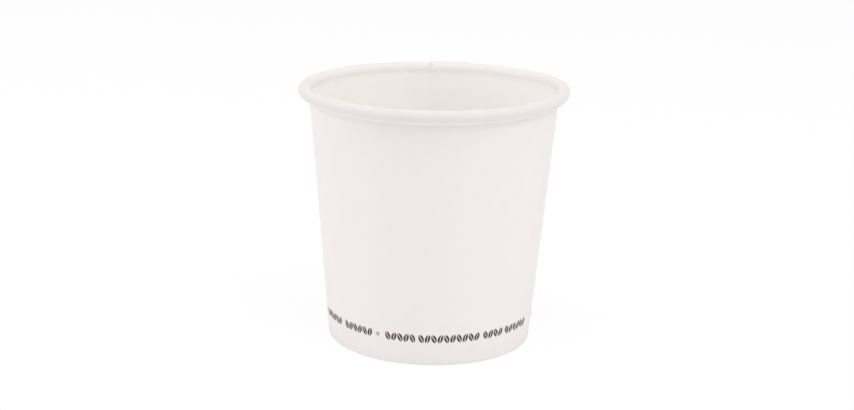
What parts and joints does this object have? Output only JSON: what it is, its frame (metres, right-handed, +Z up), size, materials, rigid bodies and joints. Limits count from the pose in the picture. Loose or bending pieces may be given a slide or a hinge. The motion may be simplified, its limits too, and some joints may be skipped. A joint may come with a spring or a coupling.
{
  "type": "paper coffee cup",
  "caption": "Small single-wall white paper cup for coffee: tapered wrapped wall, rolled rim, lapped seam at the back, and a raised base sealed into the folded foot.",
  "frame": {"origin": "centre of the foot ring, on the table", "axes": "+Z up through the middle of the mouth, +Y towards the side seam at the back, +X to the right seen from the front"},
  "size_m": [0.062, 0.062, 0.0599],
  "materials": {
    "wall_paper": "smooth white coated cup paper",
    "base_paper": "smooth white coated cup paper",
    "print_ink": "dark brown ink printed on the paper"
  },
  "bodies": {
    "root": {"sidewall": "wall_paper", "base_disc": "base_paper"}
  },
  "joints": []
}
